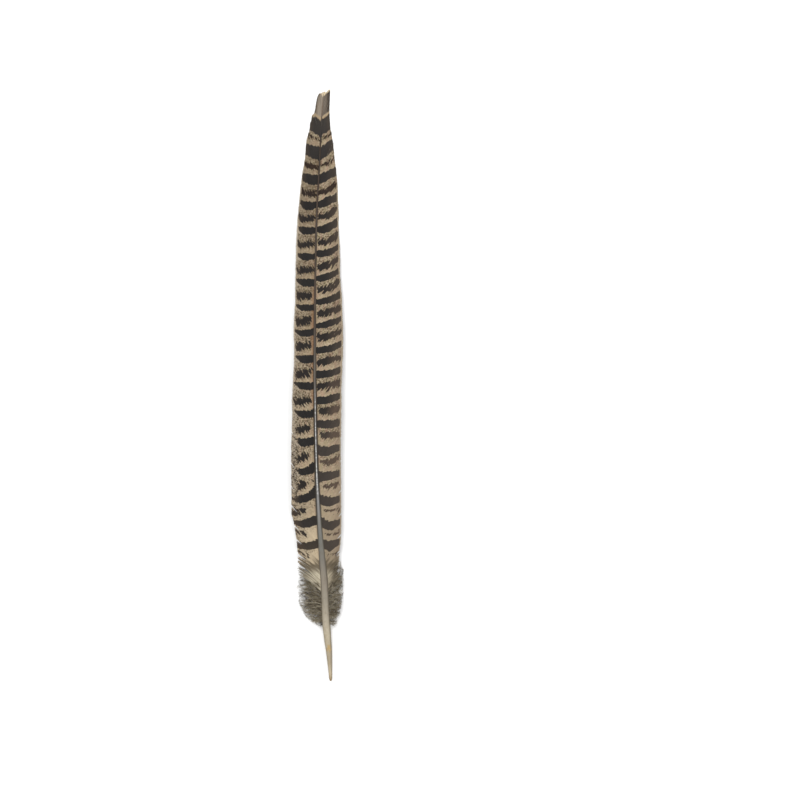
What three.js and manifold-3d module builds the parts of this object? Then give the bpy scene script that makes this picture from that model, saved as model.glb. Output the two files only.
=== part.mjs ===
// Tail feather of a hen pheasant, lying upper side up.
// Millimetres. +Y runs from the quill end to the tip, +X to the right of the
// upper face, +Z up. The origin is under the middle of the bounding box, at the
// lowest point. The feather grew as one piece, so it is one closed solid: the
// shaft (bare quill running into the rachis), the two-sided vane on it, and the
// tuft of down at the vane's foot, as the closed shape that the down fills.

import * as THREE from 'three';
import Module from 'manifold-3d';

// ---- driving dimensions ---------------------------------------------------
const LENGTH = 280.0;          // quill end to the tip's point
const QUILL_END = -140.0;      // Y of the quill end
const ARCH = 6.6;              // how far the shaft's underside rises mid-length
const FLAT_FROM = 234.0;       // from here to the tip the vane lies flat
const VANE_EDGE = 0.34;        // thickness of the vane at its outer edge
const VANE_ROOT = 0.62;        // thickness of the vane beside the rachis
const VANE_FOOT = 57.0;        // where the lowest webbed barbs reach, from the quill end
const TUFT_FROM = 27.5;        // the down's lowest tips, from the quill end
const TUFT_TO = 67.0;          // the down's highest tips
const TUFT_THICK = 5.2;        // depth of the down around the shaft
const SHAFT_SIDES = 14;

// Every table runs along the feather: first number the distance from the quill
// end, second the value there.

// sideways run of the shaft's centre line (X)
const SHAFT_X = [
  [0, 6.35], [5, 6.1], [14.7, 5.45], [19, 5.0], [24, 4.55], [31, 4.0], [38, 3.75], [48, 3.3], [57, 2.5],
  [76, 1.05], [95, 0.05], [114, -0.55], [133, -0.85], [152, -1.05], [171, -1.05],
  [189, -0.9], [208, -0.6], [227, 0.0], [246, 1.1], [260, 1.7], [268, 2.1],
  [274, 2.5], [280, 3.1],
];
// full width of the shaft
const SHAFT_WIDTH = [
  [0, 1.0], [1.2, 1.35], [5, 1.75], [12, 2.6], [19, 3.35], [26, 3.85], [34, 4.0],
  [42, 3.9], [52, 3.55], [60, 3.1], [67, 2.65], [78, 2.15], [95, 1.9], [133, 1.75],
  [160, 1.45], [185, 1.2], [215, 0.92], [250, 0.66], [268, 0.5], [276, 0.4],
];
// full height of the shaft
const SHAFT_HEIGHT = [
  [0, 0.9], [1.2, 1.25], [5, 1.7], [12, 2.35], [19, 3.0], [26, 3.5], [34, 3.7],
  [42, 3.6], [52, 3.35], [60, 3.0], [67, 2.7], [78, 2.4], [95, 2.15], [133, 1.85],
  [160, 1.5], [185, 1.2], [215, 0.95], [250, 0.75], [268, 0.62], [276, 0.55],
];
// height of the shaft's underside above the surface it lies on
const RISE = [
  [0, 0.0], [8, 0.1], [18, 0.35], [30, 0.95], [45, 2.2], [60, 3.7], [78, 5.2],
  [96, 6.2], [114, ARCH], [132, 6.45], [150, 5.7], [168, 4.45], [186, 2.95],
  [202, 1.65], [216, 0.7], [226, 0.2], [FLAT_FROM, 0.0], [LENGTH, 0.0],
];
// how far the vane's edges hang below the rachis
const DROOP = [
  [40, 1.0], [57, 1.9], [78, 2.4], [110, 2.4], [150, 2.0], [180, 1.2], [205, 0.45],
  [226, 0.05], [FLAT_FROM, 0.0], [LENGTH, 0.0],
];
// left edge of the vane (X)
const LEFT_EDGE = [
  [VANE_FOOT, -9.1], [61, -9.4], [66, -9.9], [71, -10.6], [76.2, -11.4],
  [79, -12.2], [87, -12.45], [97, -12.4], [116, -12.15], [128, -12.0], [134, -11.95],
  [141, -11.6], [154, -10.9], [163, -10.9], [171, -10.7], [182, -10.4], [194, -10.1],
  [204, -9.8], [215, -9.25], [222, -9.0], [231, -7.8], [240, -7.1], [248, -5.65],
  [254.5, -5.25], [256.8, -5.1], [258.7, -4.16], [260.2, -3.36], [263.9, -3.07],
  [266.3, -2.88], [267.9, -2.6], [268.5, -1.84], [269.1, -1.47], [271.5, -0.95],
  [274.3, -0.52], [276.5, 0.0], [278.1, 0.72], [278.9, 1.8],
  [279.4, 4.7], [LENGTH, 5.75],
];
// right edge of the vane (X)
const RIGHT_EDGE = [
  [VANE_FOOT, 10.3], [62, 10.8], [68, 11.3], [76, 11.45], [95, 11.3], [114, 11.4],
  [133, 11.6], [148, 11.9], [157, 12.3], [163, 12.4], [171, 12.1], [182, 11.4],
  [194, 10.7], [208, 10.2], [221, 9.9], [232, 9.3], [242, 8.8], [248, 7.85],
  [257, 7.1], [262.5, 6.2], [270, 5.7], [278, 5.95], [279.4, 6.0], [LENGTH, 5.98],
];
// half width of the down to the left and to the right of the shaft
const TUFT_LEFT = [
  [TUFT_FROM, 4.2], [30, 8.0], [34, 11.2], [40, 12.9], [47, 13.4], [54, 12.9],
  [60, 11.2], [64, 9.2], [TUFT_TO, 6.0],
];
const TUFT_RIGHT = [
  [TUFT_FROM, 3.2], [30, 5.4], [34, 7.0], [40, 8.1], [47, 8.9], [54, 9.4],
  [60, 9.2], [64, 8.0], [TUFT_TO, 5.4],
];

// ---- helpers --------------------------------------------------------------
// value of a table at d, on a curve through its points that never overshoots
function along(table, d) {
  const n = table.length;
  if (d <= table[0][0]) return table[0][1];
  if (d >= table[n - 1][0]) return table[n - 1][1];
  let i = 0;
  while (d > table[i + 1][0]) i++;
  const slope = (k) => (table[k + 1][1] - table[k][1]) / (table[k + 1][0] - table[k][0]);
  const tangent = (k) => {
    if (k === 0) return slope(0);
    if (k === n - 1) return slope(n - 2);
    const a = slope(k - 1), b = slope(k);
    return a * b <= 0 ? 0 : (2 * a * b) / (a + b);
  };
  const w = table[i + 1][0] - table[i][0];
  const t = (d - table[i][0]) / w;
  const t2 = t * t, t3 = t2 * t;
  return (2 * t3 - 3 * t2 + 1) * table[i][1] + (t3 - 2 * t2 + t) * w * tangent(i)
    + (3 * t2 - 2 * t3) * table[i + 1][1] + (t3 - t2) * w * tangent(i + 1);
}

function stations(from, to, step, extra = []) {
  const count = Math.round((to - from) / step);
  const all = Array.from({ length: count + 1 }, (_, k) => from + ((to - from) * k) / count);
  for (const e of extra) if (all.every((a) => Math.abs(a - e) > 0.35)) all.push(e);
  return all.sort((a, b) => a - b);
}

// closed skin over rings of equal length, each running anticlockwise as seen
// from the tip, with a flat cap on the first and the last
function loft(rings) {
  const m = rings[0].length;
  const position = [];
  for (const ring of rings) for (const p of ring) position.push(p.x, p.y, p.z);
  const index = [];
  for (let i = 0; i + 1 < rings.length; i++) {
    for (let j = 0; j < m; j++) {
      const a = i * m + j, b = i * m + ((j + 1) % m), c = a + m, d = b + m;
      index.push(a, c, b, b, c, d);
    }
  }
  for (const [ring, first, turn] of [[rings[0], 0, true], [rings.at(-1), (rings.length - 1) * m, false]]) {
    const flat = ring.map((p) => new THREE.Vector2(p.x, p.z));
    const clockwise = THREE.ShapeUtils.isClockWise(flat);
    for (const [a, b, c] of THREE.ShapeUtils.triangulateShape(flat, [])) {
      // X-Z seen from -Y: an anticlockwise triangle there faces the quill end
      if (clockwise === turn) index.push(first + a, first + c, first + b);
      else index.push(first + a, first + b, first + c);
    }
  }
  const geometry = new THREE.BufferGeometry();
  geometry.setAttribute('position', new THREE.Float32BufferAttribute(position, 3));
  geometry.setIndex(index);
  return geometry;
}

const wasm = await Module();
wasm.setup();

function solid(geometry) {
  const make = (index) => new wasm.Manifold(new wasm.Mesh({
    numProp: 3,
    vertProperties: Float32Array.from(geometry.getAttribute('position').array),
    triVerts: Uint32Array.from(index),
  }));
  return make(geometry.getIndex().array);
}

// ---- shaft ----------------------------------------------------------------
// Round at the quill, then a rounded square, with a shallow groove below.
function shaftGeometry() {
  const rings = [];
  for (const d of stations(0, 276, 6, [1.2, 3, 9, 15, 21, 27, 34, 63, 69])) {
    const w = along(SHAFT_WIDTH, d) / 2;
    const h = along(SHAFT_HEIGHT, d) / 2;
    const square = THREE.MathUtils.smoothstep(d, 45, 90);
    const lift = d > 200 ? THREE.MathUtils.smoothstep(d, 200, FLAT_FROM) * 0.12 : 0;
    const cx = along(SHAFT_X, d);
    const cz = along(RISE, d) + lift + h;
    const ring = [];
    for (let k = 0; k < SHAFT_SIDES; k++) {
      const a = (2 * Math.PI * (k + 0.5)) / SHAFT_SIDES - Math.PI / 2;
      const e = 2 / (2 + 1.4 * square);
      let x = Math.sign(Math.cos(a)) * Math.abs(Math.cos(a)) ** e * w;
      let z = Math.sign(Math.sin(a)) * Math.abs(Math.sin(a)) ** e * h;
      if (z < 0 && Math.abs(x) < w * 0.35) z += 0.16 * h * square;
      ring.push(new THREE.Vector3(cx + x, QUILL_END + d, cz + z));
    }
    rings.push(ring);
  }
  return loft(rings);
}

// ---- vane -----------------------------------------------------------------
// A thin sheet through the sides of the rachis, hanging a little to its edges
// and flat below near the tip.
const ACROSS = [-1, -0.62, -0.26, 0, 0.26, 0.62, 1];

function vaneGeometry() {
  const rings = [];
  const extra = [61, 76.2, 79, 134, 157, 163, 222, FLAT_FROM, 256.8, 258.7, 260.2, 263.9,
    267.9, 268.5, 269.1, 271.5, 276.5, 278.1, 278.9, 279.4];
  for (const d of stations(VANE_FOOT, LENGTH, 4, extra)) {
    const left = along(LEFT_EDGE, d);
    const right = along(RIGHT_EDGE, d);
    const middle = THREE.MathUtils.clamp(along(SHAFT_X, d), left + 0.02, right - 0.02);
    const rise = along(RISE, d);
    const mounted = along(SHAFT_HEIGHT, d) * 0.6 * (1 - THREE.MathUtils.smoothstep(d, 190, FLAT_FROM));
    const droop = along(DROOP, d);
    const below = [], above = [];
    for (const t of ACROSS) {
      const x = t < 0 ? middle + (middle - left) * t : middle + (right - middle) * t;
      const u = Math.abs(t);
      const z = Math.max(0, rise + mounted - droop * u ** 1.5);
      const thick = VANE_ROOT + (VANE_EDGE - VANE_ROOT) * u;
      below.push(new THREE.Vector3(x, QUILL_END + d, z));
      above.push(new THREE.Vector3(x, QUILL_END + d, z + thick));
    }
    rings.push([...below, ...above.reverse()]);
  }
  return loft(rings);
}

// ---- down -----------------------------------------------------------------
// The closed shape that the loose down around the top of the quill fills.
function tuftGeometry() {
  const rings = [];
  const m = 16;
  for (const d of stations(TUFT_FROM, TUFT_TO, 3.3)) {
    const cx = along(SHAFT_X, d);
    const t = (d - TUFT_FROM) / (TUFT_TO - TUFT_FROM);
    const half = (TUFT_THICK / 2) * (0.34 + 0.66 * Math.sin(Math.PI * Math.min(1, 0.12 + 0.83 * t)));
    const cz = along(RISE, d) + along(SHAFT_HEIGHT, d) * 0.45;
    const ring = [];
    for (let k = 0; k < m; k++) {
      const a = (2 * Math.PI * k) / m;
      const c = Math.cos(a);
      const w = along(c < 0 ? TUFT_LEFT : TUFT_RIGHT, d);
      const z = cz + Math.sin(a) * half - 1.1 * c * c;
      ring.push(new THREE.Vector3(cx + c * w, QUILL_END + d, Math.max(0.05, z)));
    }
    rings.push(ring);
  }
  return loft(rings);
}

// ---- the feather ----------------------------------------------------------
const joined = solid(shaftGeometry()).add(solid(vaneGeometry())).add(solid(tuftGeometry()));
const mesh = joined.getMesh();
const geometry = new THREE.BufferGeometry();
const points = new Float32Array((mesh.vertProperties.length / mesh.numProp) * 3);
for (let i = 0; i < points.length / 3; i++) {
  for (let k = 0; k < 3; k++) points[3 * i + k] = mesh.vertProperties[mesh.numProp * i + k];
}
geometry.setAttribute('position', new THREE.BufferAttribute(points, 3));
geometry.setIndex(new THREE.BufferAttribute(Uint32Array.from(mesh.triVerts), 1));

// the origin under the middle of the box, at the lowest point
geometry.computeBoundingBox();
const { min, max } = geometry.boundingBox;
geometry.translate(-(min.x + max.x) / 2, -(min.y + max.y) / 2, -min.z);
geometry.computeVertexNormals();

const feather = new THREE.Mesh(geometry, new THREE.MeshStandardMaterial({
  color: new THREE.Color().setRGB(0.5, 0.44, 0.36, THREE.SRGBColorSpace),
  roughness: 0.55,
  metalness: 0.0,
}));
feather.name = 'feather';

const part = new THREE.Group();
part.name = 'pheasant_tail_feather';
part.add(feather);

export default part;
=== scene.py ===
import math

import bpy
import numpy as np
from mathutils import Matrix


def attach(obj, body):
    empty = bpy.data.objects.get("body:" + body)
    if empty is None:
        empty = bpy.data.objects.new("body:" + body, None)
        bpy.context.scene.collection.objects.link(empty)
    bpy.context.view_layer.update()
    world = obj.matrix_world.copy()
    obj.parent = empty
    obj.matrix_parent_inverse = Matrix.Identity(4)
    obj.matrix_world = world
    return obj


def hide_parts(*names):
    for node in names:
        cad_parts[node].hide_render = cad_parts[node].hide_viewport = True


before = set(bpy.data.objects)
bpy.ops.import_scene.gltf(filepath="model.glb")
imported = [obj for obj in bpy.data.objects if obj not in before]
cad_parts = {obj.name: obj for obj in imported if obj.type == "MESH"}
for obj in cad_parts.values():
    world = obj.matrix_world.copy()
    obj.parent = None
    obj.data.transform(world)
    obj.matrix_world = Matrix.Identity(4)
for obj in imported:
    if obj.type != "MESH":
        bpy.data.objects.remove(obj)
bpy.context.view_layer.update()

MM = 0.001
RNG = np.random.default_rng(20417)
PX = 0.473  # millimetres to one pixel of the photograph
PX_X0, PX_Y0 = 317.3, 681.0  # the pixel column at X = 0, and the row of the quill end
QUILL_END = -140.0

# ---- tables along the feather: distance from the quill end, value ----------
SHAFT_X = [
    (0, 6.35), (5, 6.1), (14.7, 5.45), (19, 5.0), (24, 4.55), (31, 4.0), (38, 3.75), (48, 3.3), (57, 2.5),
    (76, 1.05), (95, 0.05), (114, -0.55), (133, -0.85), (152, -1.05), (171, -1.05),
    (189, -0.9), (208, -0.6), (227, 0.0), (246, 1.1), (260, 1.7), (268, 2.1),
    (274, 2.5), (280, 3.1),
]  # fmt: skip
SHAFT_WIDTH = [
    (0, 1.0), (1.2, 1.35), (5, 1.75), (12, 2.6), (19, 3.35), (26, 3.85), (34, 4.0),
    (42, 3.9), (52, 3.55), (60, 3.1), (67, 2.65), (78, 2.15), (95, 1.9), (133, 1.75),
    (160, 1.45), (185, 1.2), (215, 0.92), (250, 0.66), (268, 0.45), (278, 0.22),
]  # fmt: skip
SHAFT_HEIGHT = [
    (0, 0.9), (1.2, 1.25), (5, 1.7), (12, 2.35), (19, 3.0), (26, 3.5), (34, 3.7),
    (42, 3.6), (52, 3.35), (60, 3.0), (67, 2.7), (78, 2.4), (95, 2.15), (133, 1.85),
    (160, 1.5), (185, 1.2), (215, 0.95), (250, 0.72), (268, 0.5), (278, 0.3),
]  # fmt: skip
RISE = [
    (0, 0.0), (8, 0.1), (18, 0.35), (30, 0.95), (45, 2.2), (60, 3.7), (78, 5.2),
    (96, 6.2), (114, 6.6), (132, 6.45), (150, 5.7), (168, 4.45), (186, 2.95),
    (202, 1.65), (216, 0.7), (226, 0.2), (234, 0.0), (280, 0.0),
]  # fmt: skip
DROOP = [
    (40, 1.0), (57, 1.9), (78, 2.4), (110, 2.4), (150, 2.0), (180, 1.2), (205, 0.45),
    (226, 0.05), (234, 0.0), (280, 0.0),
]  # fmt: skip
LEFT_EDGE = [
    (41, -7.8), (50, -8.7), (57, -9.1), (61, -9.4), (66, -9.9), (71, -10.6), (76.2, -11.4),
    (79, -12.2), (87, -12.4), (97, -12.4), (116, -12.15), (128, -12.0), (134, -11.95),
    (141, -11.6), (154, -10.95), (163, -11.15), (171, -11.0), (182, -10.65), (194, -10.45),
    (204, -10.1), (215, -9.65), (222, -9.3), (231, -8.4), (240, -7.4), (248, -5.95),
    (254.5, -5.55), (256.8, -5.3), (258.7, -4.55), (260.2, -3.85), (263.9, -3.4),
    (266.3, -2.88), (267.9, -2.6), (268.5, -1.84), (269.1, -1.47), (271.5, -0.95),
    (274.3, -0.52), (276.5, 0.0), (278.1, 0.72), (280, 1.2),
]  # fmt: skip
RIGHT_EDGE = [
    (41, 9.0), (50, 9.9), (57, 10.3), (62, 10.8), (68, 11.3), (76, 11.45), (95, 11.3), (114, 11.4),
    (133, 11.6), (148, 11.9), (157, 12.3), (163, 12.4), (171, 12.2), (182, 11.75),
    (194, 10.85), (207, 10.6), (221, 10.1), (232, 9.75), (242, 9.25), (248, 8.35),
    (257, 7.4), (262.5, 6.35), (270, 5.8), (278, 6.05), (280, 6.1),
]  # fmt: skip
# the worn end: X, distance from the quill end
TOP_EDGE = [
    (-3, 277.6), (0.76, 278.1), (2.0, 278.3), (2.8, 278.9), (3.3, 279.1), (3.9, 278.5),
    (4.35, 278.7), (4.9, 279.35), (5.45, 279.95), (7.0, 279.95),
]  # fmt: skip


def curve(table):
    """The table's value at d, on a curve through its points that never overshoots."""
    xs = np.array([p[0] for p in table], float)
    ys = np.array([p[1] for p in table], float)
    h = np.diff(xs)
    m = np.diff(ys) / h
    t = np.zeros(len(xs))
    t[0], t[-1] = m[0], m[-1]
    a, b = m[:-1], m[1:]
    both = a * b > 0
    t[1:-1] = np.where(both, 2 * a * b / np.where(both, a + b, 1.0), 0.0)

    def at(d):
        d = np.clip(np.asarray(d, float), xs[0], xs[-1])
        i = np.clip(np.searchsorted(xs, d, side="right") - 1, 0, len(xs) - 2)
        w = h[i]
        u = (d - xs[i]) / w
        u2, u3 = u * u, u * u * u
        return (
            (2 * u3 - 3 * u2 + 1) * ys[i]
            + (u3 - 2 * u2 + u) * w * t[i]
            + (3 * u2 - 2 * u3) * ys[i + 1]
            + (u3 - u2) * w * t[i + 1]
        )

    return at


shaft_x, shaft_w, shaft_h = curve(SHAFT_X), curve(SHAFT_WIDTH), curve(SHAFT_HEIGHT)
rise, droop = curve(RISE), curve(DROOP)
left_edge, right_edge, top_edge = curve(LEFT_EDGE), curve(RIGHT_EDGE), curve(TOP_EDGE)


def smooth(a, b, x):
    t = np.clip((np.asarray(x, float) - a) / (b - a), 0, 1)
    return t * t * (3 - 2 * t)


def wander(n, period, rng):
    """A smooth random line of n values, about -1 to 1, turning every period values."""
    knots = rng.uniform(-1, 1, int(n / period) + 4)
    at = np.arange(n) / period + 1
    i = at.astype(int)
    f = at - i
    f = f * f * (3 - 2 * f)
    return knots[i] * (1 - f) + knots[i + 1] * f


def lift_of(d):
    return 0.12 * smooth(200, 234, d)


def vane_height(d, u):
    """The middle of the web's thickness, u being 0 at the rachis and 1 at the edge."""
    mounted = shaft_h(d) * 0.6 * (1 - smooth(190, 234, d))
    return rise(d) + mounted - droop(d) * np.clip(u, 0, 1.2) ** 1.5 + 0.31 - 0.14 * np.clip(u, 0, 1)


# ---- mesh making ------------------------------------------------------------
def make_mesh(name, co, faces, face_size, smooth_faces=True):
    """A mesh from points in millimetres and an array of faces, all with the same number of corners, or a list of such
    arrays; face_size is not used.
    """
    groups = faces if isinstance(faces, list) else [faces]
    me = bpy.data.meshes.new(name)
    co = np.asarray(co, np.float32) * MM
    me.vertices.add(len(co))
    me.vertices.foreach_set("co", co.reshape(-1))
    loops = np.concatenate([g.reshape(-1) for g in groups]).astype(np.int32)
    sizes = np.concatenate([np.full(len(g), g.shape[1], np.int32) for g in groups])
    starts = np.concatenate([[0], np.cumsum(sizes)[:-1]]).astype(np.int32)
    me.loops.add(len(loops))
    me.loops.foreach_set("vertex_index", loops)
    me.polygons.add(len(sizes))
    me.polygons.foreach_set("loop_start", starts)
    me.update(calc_edges=True)
    me.polygons.foreach_set("use_smooth", np.full(len(sizes), smooth_faces, bool))
    me.update()
    ob = bpy.data.objects.new(name, me)
    bpy.context.scene.collection.objects.link(ob)
    return ob


def give(ob, name, values, kind="FLOAT_VECTOR", domain="POINT"):
    a = ob.data.attributes.new(name, kind, domain)
    key = "vector" if kind == "FLOAT_VECTOR" else "value"
    a.data.foreach_set(key, np.asarray(values, np.float32).reshape(-1))


def give_uv(ob, per_corner):
    layer = ob.data.uv_layers.new(name="OFBake")
    layer.data.foreach_set("uv", np.asarray(per_corner, np.float32).reshape(-1))


def corner_index(ob):
    out = np.zeros(len(ob.data.loops), np.int32)
    ob.data.loops.foreach_get("vertex_index", out)
    return out


# ---- the bars' places --------------------------------------------------------
# For each dark bar and the broken bar below it, the photograph's rows of its four
# edges: the bar's top and foot, the broken bar's top and foot. Each edge has three
# numbers: near the web's outer edge, in the middle of the web, and near the rachis.
LEFT_BARS = [
    (117.0, 118.5, 120.5, 132.0, 135.0, 137.5, 134.0, 136.5, 139.5, 137.5, 140.5, 143.0),
    (144.0, 145.5, 146.7, 156.0, 158.5, 161.0, 162.0, 164.0, 166.0, 166.0, 169.0, 170.5),
    (173.0, 174.5, 175.5, 181.0, 184.5, 185.5, 188.5, 191.0, 190.0, 194.0, 196.5, 197.5),
    (200.0, 201.5, 202.5, 205.5, 210.5, 209.5, 215.5, 216.0, 216.5, 221.5, 222.0, 221.5),
    (226.0, 227.0, 228.0, 232.0, 235.0, 234.5, 241.5, 242.0, 241.5, 247.0, 248.0, 247.5),
    (252.5, 253.5, 254.5, 257.5, 261.0, 260.5, 267.8, 267.3, 268.5, 273.5, 273.3, 273.5),
    (278.0, 278.7, 280.0, 283.0, 287.0, 288.0, 292.3, 292.7, 294.0, 298.5, 300.3, 299.0),
    (303.3, 304.8, 305.2, 308.0, 311.3, 312.0, 318.3, 318.0, 316.5, 324.5, 325.8, 324.0),
    (329.0, 330.0, 329.5, 333.7, 337.0, 337.3, 344.0, 343.0, 343.5, 350.0, 350.0, 348.5),
    (355.0, 355.6, 356.0, 359.0, 363.5, 363.7, 371.0, 370.8, 368.5, 377.5, 378.7, 375.5),
    (381.5, 382.3, 383.0, 385.5, 390.0, 390.5, 399.5, 398.7, 398.0, 405.0, 405.5, 403.5),
    (409.5, 411.0, 410.0, 413.3, 418.5, 418.3, 427.0, 426.5, 424.0, 433.5, 433.0, 430.0),
    (438.0, 438.7, 437.0, 441.5, 447.5, 445.5, 456.5, 454.0, 450.5, 463.0, 461.0, 456.0),
    (467.3, 468.2, 461.5, 472.0, 475.7, 472.5, 484.5, 481.0, 477.0, 491.0, 488.0, 482.0),
    (496.3, 494.0, 485.0, 500.7, 502.7, 497.5, 510.0, 507.5, 503.0, 516.5, 512.5, 507.5),
    (521.0, 519.0, 514.5, 526.5, 528.0, 524.5, 530.5, 531.5, 528.5, 535.5, 535.5, 533.0),
    (542.5, 542.0, 538.5, 549.0, 550.0, 547.5, 552.0, 553.5, 552.0, 555.0, 556.5, 555.0),
]  # fmt: skip
RIGHT_BARS = [
    (114.5, 118.0, 119.7, 130.5, 133.7, 137.5, 132.5, 136.0, 139.5, 136.0, 138.5, 142.0),
    (139.5, 143.0, 146.8, 151.5, 157.0, 160.5, 156.0, 161.0, 164.0, 162.0, 166.0, 168.3),
    (167.0, 170.5, 174.0, 176.5, 181.0, 184.0, 181.5, 188.0, 191.0, 187.5, 193.5, 196.0),
    (193.0, 197.0, 201.0, 202.0, 206.5, 208.5, 206.5, 213.0, 215.0, 212.5, 219.0, 220.5),
    (218.0, 223.3, 227.0, 227.0, 233.0, 233.0, 231.5, 239.0, 239.5, 238.5, 245.0, 245.0),
    (244.5, 249.0, 251.0, 251.5, 256.5, 257.5, 257.5, 262.0, 264.0, 263.3, 269.0, 270.0),
    (269.0, 272.8, 276.0, 275.5, 280.7, 281.7, 280.0, 286.0, 287.3, 286.0, 292.0, 292.3),
    (292.0, 296.7, 299.5, 299.0, 304.0, 304.7, 304.5, 309.3, 311.0, 311.5, 316.3, 316.7),
    (317.0, 320.6, 323.7, 322.5, 327.7, 328.8, 329.3, 333.3, 334.3, 335.3, 339.8, 340.7),
    (341.0, 345.9, 347.2, 348.0, 353.2, 353.5, 355.5, 358.0, 359.3, 361.0, 365.0, 365.0),
    (367.0, 370.5, 371.0, 374.0, 378.0, 378.7, 380.0, 382.7, 384.0, 387.0, 389.5, 390.3),
    (393.5, 396.0, 397.0, 400.0, 404.3, 404.7, 405.3, 408.0, 408.5, 411.5, 414.7, 413.5),
    (419.5, 420.6, 420.5, 427.0, 429.5, 427.7, 431.5, 432.8, 432.5, 437.5, 439.7, 438.5),
    (444.0, 446.8, 445.6, 451.5, 456.6, 455.8, 455.5, 460.0, 460.5, 461.5, 465.2, 465.0),
    (470.5, 472.2, 471.2, 477.5, 481.2, 482.7, 482.0, 483.8, 485.0, 487.5, 489.2, 489.5),
    (496.5, 497.5, 494.5, 503.5, 507.3, 505.0, 508.0, 509.8, 509.0, 512.5, 513.0, 513.0),
    (519.5, 522.0, 517.0, 526.5, 531.5, 528.0, 531.0, 534.0, 532.0, 535.0, 537.0, 535.0),
    (539.0, 541.0, 539.6, 546.5, 552.5, 549.0, 550.0, 554.5, 552.0, 553.0, 556.5, 554.5),
]  # fmt: skip
# where each of the four edges falls inside one whole step of the pattern
STEP_OF = (0.0, 0.30, 0.55, 0.80)
BEFORE_FIRST = 28.0  # rows of the plain worn end above the first bar


NUDGE_ROWS = (125, 165, 205, 245, 285, 325, 365, 405, 445, 485, 525)
LEFT_NUDGE = [
    (0.8, 0.3, 0.0, -0.9, -1.0, -0.9, -0.5, -0.4, 0.0, 0.0, 0.6),
    (1.2, 0.2, 0.1, 0.3, 0.1, 0.0, 0.1, 0.4, 0.7, 0.1, 0.4),
    (0.7, 0.5, 0.8, 0.7, 0.9, 1.0, 1.0, 0.8, 0.5, -0.5, 0.0),
]
RIGHT_NUDGE = [
    (0.6, 0.2, 0.0, 0.0, 0.0, 0.0, 0.1, 0.3, 0.2, 0.6, 0.8),
    (1.3, 0.6, 0.7, 0.2, 0.1, 0.4, 0.5, 0.6, 0.8, 0.9, 1.2),
    (0.9, 0.5, 0.5, 0.3, 0.1, 0.0, 0.0, 0.1, 0.4, 0.5, 0.5),
]


def step_lines(bars):
    """For the three places across the web, the rows of the bars' edges and the steps there."""
    lines = []
    for k in range(3):
        rows, steps = [bars[0][k] - BEFORE_FIRST], [0.0]
        for n, bar in enumerate(bars, 1):
            for e in range(4):
                rows.append(bar[3 * e + k])
                steps.append(n + STEP_OF[e])
        rows += [rows[-1] + 14.0, rows[-1] + 140.0]
        steps += [math.floor(steps[-1]) + 0.97, math.floor(steps[-1]) + 0.98]
        lines.append((np.array(rows), np.array(steps)))
    return lines


def pattern_step(bars, nudge, row, u):
    """The place in the pattern; nudge is how many rows to move it towards the tip at NUDGE_ROWS."""
    outer, middle, inner = (
        np.interp(row + np.interp(row, NUDGE_ROWS, up), r, s) for up, (r, s) in zip(nudge, step_lines(bars))
    )
    u = np.clip(u, 0.0, 1.02)
    a, b, c = 0.12, 0.5, 0.88
    return (
        inner * (u - b) * (u - c) / ((a - b) * (a - c))
        + middle * (u - a) * (u - c) / ((b - a) * (b - c))
        + outer * (u - a) * (u - b) / ((c - a) * (c - b))
    )


# ---- the two webs of barbs -----------------------------------------------------
SIDES = {
    "left": dict(
        sign=-1.0,
        edge=left_edge,
        bars=LEFT_BARS,
        nudge=LEFT_NUDGE,
        slope=curve([(40, 1.1), (57, 1.12), (66, 1.12), (80, 1.2), (120, 1.3), (180, 1.35),
                     (230, 1.6), (255, 2.1), (268, 2.9), (280, 4.0)]),
        bend=curve([(40, -0.022), (57, -0.014), (70, 0.01), (90, 0.035), (120, 0.05),
                    (200, 0.055), (240, 0.08), (280, 0.14)]),
        # where the web has come unzipped: place of the gap at the edge, how far it
        # opens along the feather, how near the rachis it begins (0 to 1)
        splits=[(247, 0.2, 0.8), (205, 0.25, 0.88), (171, 0.3, 0.85), (118, 0.45, 0.80),
                (103, 0.55, 0.76), (92, 0.4, 0.8), (82.5, 0.6, 0.72), (73, 0.9, 0.62),
                (66.5, 0.9, 0.58), (60, 1.0, 0.5)],
    ),
    "right": dict(
        sign=1.0,
        edge=right_edge,
        bars=RIGHT_BARS,
        nudge=RIGHT_NUDGE,
        slope=curve([(40, 1.1), (57, 1.15), (66, 1.1), (80, 1.05), (120, 1.05), (180, 1.1),
                     (230, 1.35), (255, 1.9), (268, 2.7), (280, 4.0)]),
        bend=curve([(40, -0.022), (57, -0.014), (70, 0.005), (90, 0.025), (120, 0.035),
                    (200, 0.04), (240, 0.07), (280, 0.12)]),
        splits=[(213, 0.3, 0.84), (159, 0.35, 0.84), (121, 0.35, 0.84), (104, 0.3, 0.85),
                (90, 0.5, 0.78), (79, 0.7, 0.70), (69, 0.9, 0.6), (61, 1.0, 0.5)],
    ),
}  # fmt: skip
BARB_STEP = 0.42  # millimetres along the rachis from one barb to the next
BARB_POINTS = 37
WIDEST = 12.75  # nothing stands further out than this


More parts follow.
